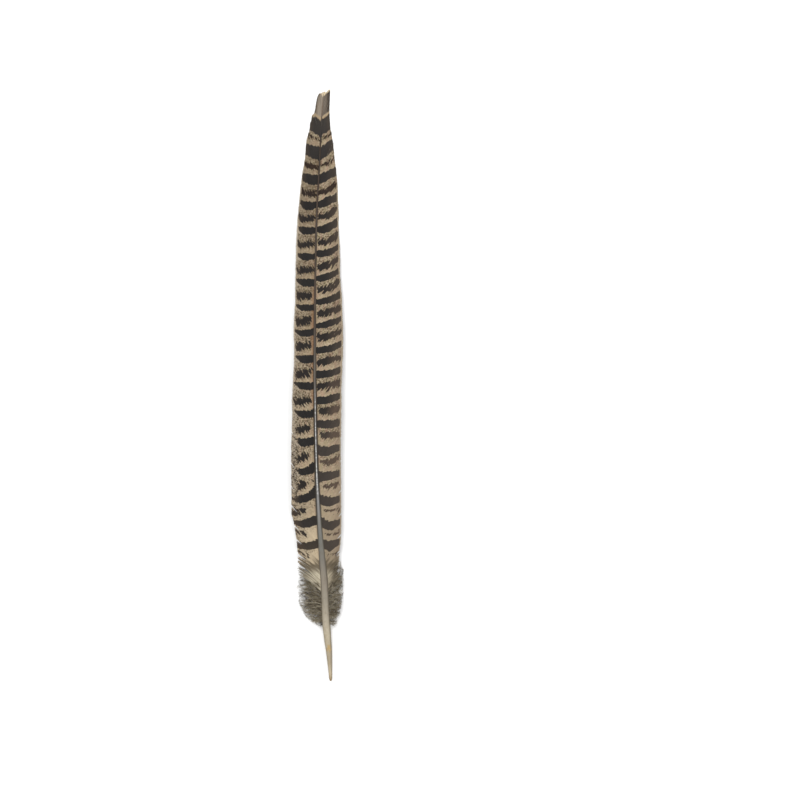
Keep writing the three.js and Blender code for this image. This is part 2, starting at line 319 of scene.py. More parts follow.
def make_web(name, side, rng):
    s = SIDES[side]
    sign = s["sign"]
    d0 = np.arange(41.0, 278.2, BARB_STEP)
    n = len(d0)
    d0 = d0 + rng.uniform(-0.05, 0.05, n)
    a, k = s["slope"](d0)[:, None], s["bend"](d0)[:, None]
    a = a * (1 + 0.02 * wander(n, 14, rng))[:, None]

    # where each barb runs out of the web's outline
    v = np.linspace(0.0, 16.0, 1600)[None, :]
    d = d0[:, None] + a * v + k * v * v
    x = shaft_x(np.minimum(d, 280)) + sign * v
    width = sign * (s["edge"](np.minimum(d, 280)) - shaft_x(np.minimum(d, 280)))
    out = (v >= width) | (d > top_edge(x))
    first = out.argmax(1)
    v_end = v[0, np.maximum(first, 1)]
    d_end = d0 + a[:, 0] * v_end + k[:, 0] * v_end**2
    at_side = 1 - smooth(262, 270, d_end)
    ragged = -rng.uniform(0, 0.10, n) + 0.10 * wander(n, 5, rng) + 0.16 * wander(n, 17, rng)
    v_end = v_end + at_side * ragged - (1 - at_side) * rng.uniform(0, 0.05, n)
    v_end = np.maximum(v_end, 0.10)

    t = np.linspace(0, 1, BARB_POINTS)[None, :] ** 0.94
    v0 = np.minimum(shaft_w(d0) * 0.40, 0.8 * v_end)[:, None]
    v = v0 + (v_end[:, None] - v0) * t
    along_rachis = a * v + k * v * v
    grade = a + 2 * k * v  # how far it runs along the feather for each step outward
    d = d0[:, None] + along_rachis

    # the gaps, which push their neighbours apart
    shift = np.zeros_like(d)
    d_tip = d[:, -1].copy()
    idx = np.arange(n)
    for place, gap, begins in s["splits"]:
        i0 = np.argmin(np.abs(d_tip - place)) + 0.5
        reach = 5.0 + 7.0 * gap
        push = np.sign(idx - i0) * np.exp(-np.abs(idx - i0) / reach) * gap / 2
        shift += push[:, None] * smooth(begins, 1.0, t) * (0.6 + 0.4 * t)
    calm = 1 - 0.85 * smooth(262, 270, d_tip)
    shift += (calm * (0.16 * wander(n, 9, rng) + 0.02 * rng.uniform(-1, 1, n)))[:, None] * t**1.3
    # 1 where the barbs at the vane's foot don't hold together, in tufts of a few barbs
    loose = 0.12 * smooth(66, 54, d0) + 0.5 * smooth(54, 42, d0)
    clump = wander(n, 5, rng)
    shift += (loose * (0.6 * rng.normal(0, 1, n) + 1.5 * clump))[:, None] * t**1.8
    d = np.minimum(d + shift, 279.95)

    rachis = shaft_x(d)
    u = v / np.maximum(sign * (s["edge"](d) - rachis), 0.5)
    x = rachis + sign * v
    x = x + sign * (loose * rng.normal(0, 0.5, n))[:, None] * t**2
    x = np.clip(x, -WIDEST, WIDEST)
    z = vane_height(d, u)
    wave = 0.13 * wander(n, 10, rng) + 0.06 * wander(n, 3.2, rng) + 0.012 * rng.uniform(-1, 1, n)
    z = z + wave[:, None] * (0.15 + 0.85 * t)
    z = z + (loose * (rng.normal(0.0, 0.45, n) + 0.4 * clump))[:, None] * t**1.6
    z = np.clip(z, 0.13, 8.6)

    # the cross-section: a low ridge above, a deeper one below, thin at both sides
    leng = np.sqrt(1 + grade**2)
    nx, ny = -sign * grade / leng, 1 / leng  # across the barb, towards the tip
    apart = np.maximum(np.diff(d, axis=0, prepend=d[:1] - BARB_STEP), np.diff(d, axis=0, append=d[-1:] + BARB_STEP))
    apart = np.where(apart > BARB_STEP * 1.7, BARB_STEP, np.clip(apart, BARB_STEP, BARB_STEP * 1.5))
    half = 0.5 * apart / leng * 1.30
    length = np.cumsum(
        np.concatenate(
            [np.zeros((n, 1)), np.sqrt(np.diff(x) ** 2 + np.diff(d) ** 2 + np.diff(z) ** 2)], 1
        ),
        1,
    )
    left = length[:, -1:] - length
    fine_end = (0.34 + 0.36 * rng.uniform(0, 1, n)) * (0.35 + 0.65 * at_side)
    taper = np.clip(left / fine_end[:, None], 0, 1) ** 0.7
    half = half * (0.10 + 0.90 * taper)
    half = half * (1 - loose[:, None] * (0.15 + 0.60 * t))
    ridge = 0.045 * (0.4 + 0.6 * taper)
    keel = 0.075 * (0.4 + 0.6 * taper) * (1.25 - 0.5 * t)
    tilt = 0.018
    rings = np.stack(
        [
            np.stack([x + nx * half, d + ny * half, z + tilt], -1),
            np.stack([x, d, z + ridge], -1),
            np.stack([x - nx * half, d - ny * half, z - tilt], -1),
            np.stack([x, d, z - keel], -1),
        ],
        2,
    )  # n, points, 4, 3
    rings[..., 1] = np.minimum(rings[..., 1], 279.97)
    co = rings.copy()
    co[..., 1] += QUILL_END
    co[..., 2] = np.maximum(co[..., 2], 0.03)

    m = BARB_POINTS
    base = (np.arange(n) * m * 4)[:, None, None]
    i = np.arange(m - 1)[None, :, None] * 4
    j = np.arange(4)[None, None, :]
    j2 = (j + 1) % 4
    q = np.stack(
        [base + i + j, base + i + j2, base + i + 4 + j2, base + i + 4 + j], -1
    ).reshape(-1, 4)
    root = np.stack([np.arange(n) * m * 4 + c for c in (3, 2, 1, 0)], -1)
    tip = np.stack([np.arange(n) * m * 4 + (m - 1) * 4 + c for c in (0, 1, 2, 3)], -1)
    faces = np.concatenate([q, root, tip])
    if sign > 0:
        faces = faces[:, ::-1]
    side_of = np.concatenate(
        [np.tile(np.array([0, 0, 1, 1]), n * (m - 1)), np.ones(2 * n, int)]
    )  # 1: seen from below
    ob = make_mesh(name, co.reshape(-1, 3), faces, 4)

    row = PX_Y0 - rings[..., 1] / PX
    uu = np.repeat(u[:, :, None], 4, 2)
    # the marks lie where the barb grew them, so a barb that has slipped carries its own
    row_own = row + shift[:, :, None] / PX * 0.75
    step = pattern_step(s["bars"], s["nudge"], row_own, uu)
    give(ob, "pat", np.stack([step, np.clip(uu, 0, 1.1), row_own / 1000], -1).reshape(-1, 3))
    number = np.repeat(np.repeat(np.arange(n)[:, None], m, 1)[:, :, None], 4, 2)
    # across one barb the number runs on, so that marks pass from barb to barb
    number = number + np.array([0.5, 0.0, -0.5, 0.0])[None, None, :]
    lengths = np.repeat(length[:, :, None], 4, 2)
    own = np.repeat(np.repeat(rng.uniform(0, 1, n)[:, None], m, 1)[:, :, None], 4, 2)
    give(ob, "barb", np.stack([number, lengths, own], -1).reshape(-1, 3))
    give(ob, "under", side_of.astype(np.float32), "FLOAT", "FACE")

    # a flat map: the upper side in four columns, the under side in four more
    c = corner_index(ob)
    flat = rings.reshape(-1, 3)[c]
    seen = np.repeat(side_of, 4)
    mid_y = np.repeat(rings.reshape(-1, 3)[:, 1][faces].mean(1), 4)
    start, tall = 40.0, 60.1
    cut = np.clip(((mid_y - start) / tall).astype(int), 0, 3)
    lo_x = -13.4 if sign < 0 else -1.8
    uv_u = (np.clip((flat[:, 0] - lo_x) / 15.4, 0, 1) * 0.96 + 0.02 + cut + 4 * seen) / 8
    uv_v = np.clip((flat[:, 1] - (start + tall * cut)) / (tall + 1.0) * 0.97 + 0.015, 0, 1)
    give_uv(ob, np.stack([uv_u, uv_v], -1))
    return ob


web_left = make_web("web_left", "left", np.random.default_rng(101))
web_right = make_web("web_right", "right", np.random.default_rng(202))


# ---- the shaft: quill and rachis ------------------------------------------------
def make_shaft():
    sides = 28
    d = np.concatenate(
        [
            np.array([1.3, 0.8, 0.35, 0.05, 0.0]),  # the small hole at the quill's end
            np.array([0.06, 0.2, 0.5, 0.9]),
            np.linspace(1.4, 70, 150),
            np.linspace(70.8, 277.6, 260),
        ]
    )
    pit = np.zeros(len(d))
    pit[:5] = (0.10, 0.2, 0.3, 0.42, 0.6)
    scale = np.ones(len(d))
    scale[5:9] = (0.72, 0.84, 0.93, 0.98)
    rng = np.random.default_rng(77)
    th = 2 * math.pi * (np.arange(sides) + 0.5) / sides - math.pi / 2
    c, sn = np.cos(th)[None, :], np.sin(th)[None, :]
    w = (shaft_w(d) / 2)[:, None] * scale[:, None]
    h = (shaft_h(d) / 2)[:, None] * scale[:, None]
    inner = pit[:, None] > 0
    w = np.where(inner, w * pit[:, None], w)
    h = np.where(inner, h * pit[:, None], h)
    square = smooth(45, 90, d)[:, None]
    e = 2 / (2 + 1.1 * square)
    x = np.sign(c) * np.abs(c) ** e * w
    z = np.sign(sn) * np.abs(sn) ** e * h
    # a groove along the underside of the rachis
    groove = np.exp(-((x / (w * 0.30 + 1e-6)) ** 2)) * (z < 0)
    z = z + groove * 0.36 * h * square * (1 - smooth(250, 272, d))[:, None]
    # the quill isn't quite round: faint flutes and slow bumps along it
    bump = 0.010 * np.sin(3 * th[None, :] + 0.05 * d[:, None]) + 0.008 * np.sin(
        5 * th[None, :] - 0.09 * d[:, None] + 1.0
    )
    slow = 0.012 * wander(len(d), 9, rng)[:, None]
    grow = 1 + (bump + slow) * (1 - 0.6 * square)
    x, z = x * grow, z * grow
    cx = shaft_x(d)[:, None]
    cz = (rise(d) + lift_of(d) + shaft_h(d) / 2)[:, None]
    co = np.stack([cx + x, np.repeat(d[:, None], sides, 1) + QUILL_END, cz + z], -1)
    co[..., 2] = np.maximum(co[..., 2], 0.0)
    m = len(d)
    i = np.arange(m - 1)[:, None] * sides
    j = np.arange(sides)[None, :]
    j2 = (j + 1) % sides
    q = np.stack([i + j, i + j2, i + sides + j2, i + sides + j], -1).reshape(-1, 4)[:, ::-1]
    points = co.reshape(-1, 3)
    # a closing point at each end
    ends = np.array([co[0].mean(0), co[-1].mean(0) + np.array([0, 0.25, 0])])
    points = np.concatenate([points, ends])
    k = np.arange(sides)
    start = np.stack([np.full(sides, m * sides), k, (k + 1) % sides], -1)
    last = (m - 1) * sides
    finish = np.stack([np.full(sides, m * sides + 1), last + (k + 1) % sides, last + k], -1)
    ob = make_mesh("shaft", points, [q, start, finish], 4)
    row = (PX_Y0 - np.concatenate([np.repeat(d, sides), [d[0], d[-1]]]) / PX) / 1000
    # across it, from -1 at the left side to 1 at the right, and 1 on top to -1 below
    across = np.concatenate([(x / np.maximum(w, 1e-6)).reshape(-1), [0.0, 0.0]])
    up = np.concatenate([np.tile(np.sin(th), m), [0.0, 0.0]])
    hole = np.concatenate([np.repeat((pit > 0) & (pit < 0.5), sides).astype(float), [1.0, 0.0]])
    give(ob, "shaft", np.stack([row, np.clip(across, -1, 1), up], -1))
    give(ob, "hole", hole, "FLOAT")
    turn = np.concatenate([np.tile(th, m), [0.0, 0.0]])
    give(ob, "round", np.stack([np.cos(turn), np.sin(turn), row * 1000 * PX], -1))
    return ob


shaft = make_shaft()


# ---- the down ---------------------------------------------------------------------
TUFT_LEFT = curve([(24, 2.4), (28, 5.4), (32, 8.8), (38, 11.2), (45, 12.0), (54, 11.5), (62, 9.4), (68, 6.5)])
TUFT_RIGHT = curve([(24, 2.2), (28, 3.6), (32, 5.0), (38, 6.3), (45, 7.2), (54, 7.8), (62, 7.6), (68, 6.0)])


def hairs(path, radius):
    """Closed three-sided hairs along path (count, points, 3); the last point is the tip."""
    kk, r, _ = path.shape
    tan = np.gradient(path, axis=1)
    tan /= np.linalg.norm(tan, axis=2, keepdims=True) + 1e-12
    a = np.cross(tan, np.array([0.0, 0.0, 1.0]))
    a /= np.linalg.norm(a, axis=2, keepdims=True) + 1e-9
    b = np.cross(a, tan)
    rings = []
    for c in range(3):
        an = 2 * math.pi * c / 3 + math.pi / 2
        rings.append(path + radius[..., None] * (math.cos(an) * a + math.sin(an) * b))
    body = np.stack(rings, 2)[:, :-1]
    per = (r - 1) * 3 + 1
    pts = np.concatenate([body.reshape(kk, -1, 3), path[:, -1:, :]], 1)
    base = (np.arange(kk) * per)[:, None, None]
    i = np.arange(r - 2)[None, :, None] * 3
    j = np.arange(3)[None, None, :]
    j2 = (j + 1) % 3
    q = np.stack([base + i + j, base + i + 3 + j, base + i + 3 + j2, base + i + j2], -1)
    last = base[:, 0] + (r - 2) * 3
    c3 = np.arange(3)[None, :]
    tip = np.stack([last + c3, np.repeat(base[:, 0] + per - 1, 3, 1), last + (c3 + 1) % 3], -1)
    root = np.stack([base[:, 0, 0], base[:, 0, 0] + 1, base[:, 0, 0] + 2], -1)
    return pts, q.reshape(-1, 4), np.concatenate([tip.reshape(-1, 3), root])


def make_down(name, sign, count, bare, rng):
    """Downy barbs with their barbules, every one a closed three-sided hair that runs to a point; the last `bare` barbs are pale and have no barbules."""
    reach = TUFT_LEFT if sign < 0 else TUFT_RIGHT
    place = rng.beta(1.15, 1.0, count) * 21.5 + 27.0
    place[count - bare :] = rng.uniform(28.0, 41.0, bare)
    m = 19
    t = np.linspace(0, 1, m)[None, :]
    # the lower ones point outward and a little down, the upper ones up along the vane
    lean = np.interp(place, [27, 34, 42, 49], [-0.35, 0.15, 0.60, 0.95]) + rng.normal(0, 0.42, count)
    turn = rng.normal(-0.20, 0.95, count)[:, None]
    w1, w2, w3 = rng.uniform(0, 6.28, (3, count, 1))
    f1, f2 = rng.uniform(3.0, 7.0, (count, 1)), rng.uniform(9.0, 15.0, (count, 1))
    angle = lean[:, None] + turn * t**1.2 + 0.42 * np.sin(f1 * t + w1) * t**0.5 + 0.16 * np.sin(f2 * t + w2)
    length = rng.uniform(7.0, 15.0, count)[:, None]
    step = length / (m - 1)
    dx, dy = sign * np.cos(angle) * step, np.sin(angle) * step
    run_x = np.concatenate([np.zeros((count, 1)), np.cumsum(dx, 1)[:, :-1]], 1)
    run_y = np.concatenate([np.zeros((count, 1)), np.cumsum(dy, 1)[:, :-1]], 1)
    # shortened where it would pass the tuft's outline, at its sides, its foot and its head
    y_out = np.clip(place[:, None] + run_y, 24, 68)
    far = (np.abs(run_x) / reach(y_out)).max(1)
    foot = 25.6 + np.abs(rng.normal(0, 2.6, count))
    low = ((place - (place[:, None] + run_y).min(1)) / np.maximum(place - foot, 0.8))
    top = (((place[:, None] + run_y).max(1) - place) / (65.0 - place))
    limit = np.maximum(np.maximum(far, low), np.maximum(top, 0.3))
    fit = np.minimum(1.0, rng.uniform(0.80, 1.03, count) / limit)[:, None]
    length, run_x, run_y = length * fit, run_x * fit, run_y * fit
    outline = reach(np.clip(place[:, None] + run_y, 24, 68))
    beyond = np.maximum(np.abs(run_x) - 0.92 * outline, 0)
    run_x = sign * np.where(beyond > 0, 0.92 * outline + 0.06 * outline * np.tanh(beyond / (0.06 * outline)), np.abs(run_x))
    x = shaft_x(place)[:, None] + sign * shaft_w(place)[:, None] * 0.42 + run_x
    y = place[:, None] + run_y
    z0 = (rise(place) + shaft_h(place) * rng.uniform(0.15, 0.80, count) * np.interp(place, [40, 47], [1.0, 0.7]))[:, None]
    climb = rng.normal(0.03, 0.13, count)[:, None]
    z = z0 + length * (climb * t - 0.08 * t * t) + 0.35 * np.sin(6 * t + w3) * t
    # under the webs wherever the two overlap
    z = np.minimum(z, 7.4 - 0.5 * smooth(44, 52, y) - 0.9 * smooth(50, 60, y))
    under = vane_height(np.maximum(y, 44.0), np.clip(np.abs(run_x) / 9.5, 0, 1)) - 0.55
    z = np.where(y > 47.0, np.minimum(z, under - 0.4 * rng.uniform(0, 1, (count, 1))), z)
    z[count - bare :] += 2.3 * np.sqrt(t) + 0.4 * np.sin(3 * t)
    z = np.clip(z, 0.3, 7.6)
    p = np.stack([x, y, z], -1)  # count, m, 3

    all_pts, quads, tris, tone = [], [], [], []
    at = 0
    # barbs near one another are alike, which makes darker and lighter tufts
    order = np.argsort(place)
    own = np.clip(0.48 + 0.20 * wander(count, 6, rng)[np.argsort(order)] + rng.choice([-0.38, -0.14, 0.10, 0.42], count) + rng.normal(0, 0.08, count), 0, 0.9)
    own[count - bare :] = 0.999
    rad = np.where(own[:, None] > 0.95, 0.10, 0.04) * (1 - 0.7 * t) * np.ones((count, 1))
    pts, q, f = hairs(p, rad)
    all_pts.append(pts.reshape(-1, 3))
    quads.append(q + at)
    tris.append(f + at)
    tt = np.concatenate([np.repeat(t[:, :-1], 3, 1), t[:, -1:]], 1) * np.ones((count, 1))
    tone.append(np.stack([tt, own[:, None] * np.ones_like(tt), np.zeros_like(tt)], -1).reshape(-1, 3))
    at += pts.reshape(-1, 3).shape[0]

    # barbules on both sides of every barb, longest in its middle: many short and
    # straight, and here and there a longer curved wisp
    tang = np.gradient(p, axis=1)
    tang /= np.linalg.norm(tang, axis=2, keepdims=True) + 1e-9
    for spacing, bent in ((0.165, False), (0.85, True)):
        starts, dirs, sizes, owner, where = [], [], [], [], []
        for b in range(count - bare):
            number = int(length[b, 0] / spacing)
            s = (np.arange(number) + rng.uniform(0, 1, number) * 0.8) / max(number, 1)
            s = np.clip(s * 0.97 + 0.02, 0, 0.995)
            f = s * (m - 1)
            i = np.minimum(f.astype(int), m - 2)
            w = (f - i)[:, None]
            here = p[b, i] * (1 - w) + p[b, i + 1] * w
            tg = tang[b, i] * (1 - w) + tang[b, i + 1] * w
            fluffy = rng.uniform(0.7, 1.25)
            for hand in (-1, 1):
                spin = rng.normal(0, 0.7, number)
                flat = np.stack([-tg[:, 1] * hand, tg[:, 0] * hand, np.zeros(number)], 1)
                flat /= np.linalg.norm(flat, axis=1, keepdims=True) + 1e-9
                side = flat * np.cos(spin)[:, None] + np.array([0, 0, 1.0]) * np.sin(spin)[:, None]
                open_ = rng.normal(0.72, 0.26, number)
                way = tg * np.cos(open_)[:, None] + side * np.sin(open_)[:, None]
                size = (0.38 + 0.72 * np.sin(math.pi * np.clip(0.12 + 0.80 * s, 0, 1))) * fluffy
                size = size * (1.5 if bent else 1.0)
                starts.append(here)
                dirs.append(way)
                sizes.append(size * rng.uniform(0.6, 1.2, number))
                owner.append(np.full(number, own[b]))
                where.append(s)
        start, way, size = np.concatenate(starts), np.concatenate(dirs), np.concatenate(sizes)
        owner, where = np.concatenate(owner), np.concatenate(where)
        k = len(start)
        sag = rng.normal(0, 0.30, (k, 3)) + np.array([0, 0, -0.06])
        end = start + way * size[:, None] * 0.95 + sag * size[:, None] * (1.0 if bent else 0.4)
        if bent:
            mid = start + way * size[:, None] * 0.5 + sag * size[:, None] * 0.25
            path = np.stack([start, mid, end], 1)
            rad = np.stack([np.full(k, 0.024), np.full(k, 0.020), np.full(k, 0.0)], 1)
            out = np.tile(np.array([0, 0, 0, 0.5, 0.5, 0.5, 1.0]), (k, 1))
        else:
            path = np.stack([start, end], 1)
            rad = np.stack([np.full(k, 0.023), np.full(k, 0.0)], 1)
            out = np.tile(np.array([0, 0, 0, 1.0]), (k, 1))
        path[..., 2] = np.clip(path[..., 2], 0.08, 8.55)
        path[..., 0] = np.where(path[..., 0] > 11.9, 11.9 + 0.7 * np.tanh((path[..., 0] - 11.9) / 0.7), path[..., 0])
        pts, q, f = hairs(path, rad)
        all_pts.append(pts.reshape(-1, 3))
        quads.append(q + at)
        tris.append(f + at)
        at += pts.reshape(-1, 3).shape[0]
        wide = pts.shape[1]
        tone.append(
            np.stack([np.repeat(where[:, None], wide, 1), np.repeat(owner[:, None], wide, 1), 0.2 + 0.8 * out], -1).reshape(-1, 3)
        )

    co = np.concatenate(all_pts)
    co[:, 1] += QUILL_END
    quads, tris = np.concatenate(quads), np.concatenate(tris)
    ob = make_mesh(name, co, [quads, tris], 4)
    tone = np.concatenate(tone)
    give(ob, "tone", tone)
    c = corner_index(ob)
    uv = np.stack([(tone[c, 0] * 0.9 + 0.05), (np.floor(tone[c, 1] * 15.99) + 0.15 + 0.7 * tone[c, 2]) / 16], -1)
    give_uv(ob, uv)
    return ob


down_left = make_down("down_left", -1.0, 266, 9, np.random.default_rng(303))
down_right = make_down("down_right", 1.0, 256, 8, np.random.default_rng(404))


# ---- materials ------------------------------------------------------------------------
def lin(r, g, b):
    """A screen colour, 0 to 255, as the numbers that a shader takes."""
    out = []
    for c in (r, g, b):
        c = c / 255
        out.append(c / 12.92 if c <= 0.04045 else ((c + 0.055) / 1.055) ** 2.4)
    return (*out, 1.0)


class Nodes:
    def __init__(self, name):
        self.mat = bpy.data.materials.new(name)
        self.mat.use_nodes = True
        self.nt = self.mat.node_tree
        self.nt.nodes.clear()
        self.out = self.add("ShaderNodeOutputMaterial")
        self.bsdf = self.add("ShaderNodeBsdfPrincipled")
        self.link(self.bsdf.outputs["BSDF"], self.out.inputs["Surface"])

    def add(self, kind, **settings):
        n = self.nt.nodes.new(kind)
        for key, value in settings.items():
            setattr(n, key, value)
        return n

    def link(self, a, b):
        self.nt.links.new(a, b)

    def put(self, socket, value):
        if isinstance(value, bpy.types.NodeSocket):
            self.link(value, socket)
        else:
            socket.default_value = value

    def attribute(self, name):
        a = self.add("ShaderNodeAttribute", attribute_type="GEOMETRY", attribute_name=name)
        s = self.add("ShaderNodeSeparateXYZ")
        self.link(a.outputs["Vector"], s.inputs[0])
        return s.outputs[0], s.outputs[1], s.outputs[2]

    def number(self, name):
        return self.add(
            "ShaderNodeAttribute", attribute_type="GEOMETRY", attribute_name=name
        ).outputs["Fac"]

    def math(self, op, a, b=0.0, c=0.0, clamp=False):
        n = self.add("ShaderNodeMath", operation=op, use_clamp=clamp)
        self.put(n.inputs[0], a)
        self.put(n.inputs[1], b)
        if op in ("MULTIPLY_ADD", "SMOOTH_MIN", "SMOOTH_MAX"):
            self.put(n.inputs[2], c)
        return n.outputs[0]

    def mul(self, a, b):
        return self.math("MULTIPLY", a, b)

    def plus(self, a, b):
        return self.math("ADD", a, b)

    def minus(self, a, b):
        return self.math("SUBTRACT", a, b)

    def span(self, value, a, b, lo=0.0, hi=1.0, kind="SMOOTHSTEP"):
        n = self.add("ShaderNodeMapRange", interpolation_type=kind, clamp=True)
        self.put(n.inputs["Value"], value)
        self.put(n.inputs["From Min"], a)
        self.put(n.inputs["From Max"], b)
        self.put(n.inputs["To Min"], lo)
        self.put(n.inputs["To Max"], hi)
        return n.outputs["Result"]

    def vector(self, x, y, z=0.0):
        n = self.add("ShaderNodeCombineXYZ")
        self.put(n.inputs[0], x)
        self.put(n.inputs[1], y)
        self.put(n.inputs[2], z)
        return n.outputs[0]

    def noise(self, vec, scale=1.0, detail=2.0, rough=0.5, distortion=0.0):
        n = self.add("ShaderNodeTexNoise")
        self.put(n.inputs["Vector"], vec)
        n.inputs["Scale"].default_value = scale
        n.inputs["Detail"].default_value = detail
        n.inputs["Roughness"].default_value = rough
        n.inputs["Distortion"].default_value = distortion
        return n.outputs["Fac"]

    def ramp(self, fac, stops, kind="LINEAR"):
        n = self.add("ShaderNodeValToRGB")
        n.color_ramp.interpolation = kind
        el = n.color_ramp.elements
        while len(el) > 1:
            el.remove(el[-1])
        for i, (pos, colour) in enumerate(stops):
            e = el[0] if i == 0 else el.new(pos)
            e.position = pos
            e.color = colour if isinstance(colour, tuple) else (colour, colour, colour, 1.0)
        self.put(n.inputs["Fac"], fac)
        return n.outputs["Color"]

    def mix(self, fac, a, b, kind="MIX"):
        n = self.add("ShaderNodeMix", data_type="RGBA", blend_type=kind)
        n.clamp_factor = True
        self.put(n.inputs["Factor"], fac)
        self.put(n.inputs[6], a)
        self.put(n.inputs[7], b)
        return n.outputs[2]

    def bump(self, height, strength, distance):
        n = self.add("ShaderNodeBump")
        n.inputs["Strength"].default_value = strength
        n.inputs["Distance"].default_value = distance
        self.put(n.inputs["Height"], height)
        self.link(n.outputs["Normal"], self.bsdf.inputs["Normal"])

    def finish(self, colour, rough):
        self.put(self.bsdf.inputs["Base Color"], colour)
        self.put(self.bsdf.inputs["Roughness"], rough)
        return self.mat


BRIGHT = 0.74  # the colours below are the photograph's; this takes the light into account


def tone(r, g, b):
    c = lin(r, g, b)
    return (c[0] * BRIGHT, c[1] * BRIGHT, c[2] * BRIGHT, 1.0)


def web_material(side):
    left = side == "left"
    n = Nodes("web_" + side)
    step, w, row = n.attribute("pat")
    number, along, own = n.attribute("barb")
    row = n.mul(row, 1000.0)
    off = 0.0 if left else 511.0
    place = n.plus(number, off)

    spot = n.add("ShaderNodeTexCoord").outputs["Object"]
    # noises drawn out along the barbs
    teeth = n.noise(n.vector(n.mul(place, 0.30), n.mul(along, 0.20), 3.1), 1.0, 1.0, 0.5)
    fingers = n.noise(n.vector(n.mul(place, 0.52), n.mul(along, 0.36), 9.7), 1.0, 1.0, 0.5)
    specks = n.noise(n.vector(n.mul(place, 0.80), n.mul(along, 1.25), 5.3), 1.0, 1.0, 0.5)
    broad = n.noise(n.vector(n.mul(place, 0.05), n.mul(along, 0.16), 1.3), 1.0, 2.0, 0.5)

    # place inside one step of the pattern, its edges pulled out of line along the barbs
    free = n.ramp(
        n.math("FRACT", step),
        [(0.0, 0.42), (0.15, 0.32), (0.30, 0.30), (0.40, 0.8), (0.55, 1.10), (0.82, 1.10), (0.97, 0.42)],
    )
    pulled = n.plus(step, n.mul(n.mul(n.minus(teeth, 0.5), 0.34), free))
    pulled = n.plus(pulled, n.mul(n.minus(own, 0.5), 0.022))
    f = n.math("FRACT", pulled)
    level = n.ramp(
        f,
        [
            (0.0, 0.58), (0.015, 0.92), (0.06, 1.0), (0.26, 1.0), (0.29, 0.70), (0.31, 0.30),
            (0.34, 0.08), (0.45, 0.10), (0.50, 0.26), (0.535, 0.52), (0.57, 0.90),
            (0.61, 1.0), (0.74, 1.0), (0.775, 0.86), (0.80, 0.58), (0.83, 0.30), (0.87, 0.04),
            (0.97, 0.02), (1.0, 0.50),
        ],
    )  # fmt: skip
    # how much the noise can change it: little in the solid bar, much in the broken one
    give_way = n.ramp(
        f,
        [(0.0, 0.15), (0.05, 0.05), (0.24, 0.05), (0.31, 0.35), (0.38, 1.0), (0.86, 1.0),
         (0.90, 0.3), (0.95, 0.10), (1.0, 0.15)],
    )  # fmt: skip
    change = n.plus(n.mul(n.minus(fingers, 0.5), 2.15 if left else 1.75), n.mul(n.minus(specks, 0.5), 0.40))
    level = n.plus(level, n.mul(change, give_way))

    # the first and the last steps have a fainter broken bar
    inner_step = n.math("FLOOR", pulled)
    in_broken = n.mul(n.span(f, 0.36, 0.44), n.span(f, 0.9, 0.86))
    early = n.span(inner_step, 0.9, 2.1, 0.34, 0.0, "LINEAR")
    if not left:
        early = n.plus(early, n.mul(n.span(inner_step, 1.4, 1.6), n.span(inner_step, 3.4, 2.6, 0.0, 0.34)))
    late = n.span(inner_step, 14.4 if left else 12.4, 16.6, 0.0, 0.42, "LINEAR")
    level = n.minus(level, n.mul(n.plus(early, late), in_broken))

    if left:
        # the bars end short of a pale margin, wider towards the foot
        margin_from = n.span(row, 392.0, 450.0, 0.90, 0.80)
        cut_back = n.ramp(f, [(0.0, 0.0), (0.12, 0.01), (0.19, 0.045), (0.25, 0.11), (0.30, 0.24), (0.32, 0.06), (0.5, 0.0), (0.8, 0.04), (0.97, 0.0)])
        cut_back = n.mul(cut_back, n.span(row, 170.0, 225.0))
        margin_from = n.minus(margin_from, cut_back)
        margin_from = n.plus(margin_from, n.mul(n.minus(teeth, 0.5), 0.16))
        margin = n.mul(n.span(n.minus(w, margin_from), -0.01, 0.08), n.span(row, 148.0, 175.0))
        margin = n.mul(margin, n.span(row, 499.0, 485.0))
        level = n.minus(level, n.mul(margin, 1.1))
        # finely marked down its lower part
        worm = n.mul(n.mul(n.span(row, 405.0, 460.0), n.span(w, 0.58, 0.84)), n.span(row, 508.0, 488.0, 0.25, 1.0))
        worm = n.math("MAXIMUM", worm, n.mul(margin, 0.5))
        fine = n.noise(spot, 1350.0, 1.5, 0.5, 1.3)
        worms = n.plus(0.42, n.mul(n.minus(fine, 0.5), 5.2))
        level = n.math("MAXIMUM", level, 0.0)
        level = n.plus(n.mul(level, n.minus(1.0, n.mul(worm, 0.76))), n.mul(n.mul(worm, 0.76), worms))
        short = n.minus(w, n.span(row, 410.0, 515.0, 0.0, 0.33, "LINEAR"))
        near = n.mul(n.span(short, 0.10, 0.24, 1.0, 0.0), n.span(row, 262.0, 300.0, 0.3, 1.0))
        level = n.minus(level, n.mul(n.mul(near, in_broken), 0.75))
        # a rufous strip beside the rachis stops the bars too
        strip = n.mul(n.span(w, 0.03, 0.11, 1.0, 0.0), n.span(row, 262.0, 330.0))
        strip = n.mul(strip, n.span(row, 430.0, 400.0))
        level = n.minus(level, n.mul(strip, 0.35))
    else:
        margin = n.mul(n.span(w, 0.90, 0.97), n.span(row, 150.0, 200.0))
        level = n.minus(level, n.mul(margin, 0.9))
        near = n.mul(n.span(w, 0.05, n.span(row, 385.0, 450.0, 0.12, 0.32), 1.0, 0.0), n.span(row, 190.0, 225.0))
        level = n.minus(level, n.mul(n.mul(near, in_broken), 0.75))

    dark_mask = n.span(level, 0.45, 0.55)

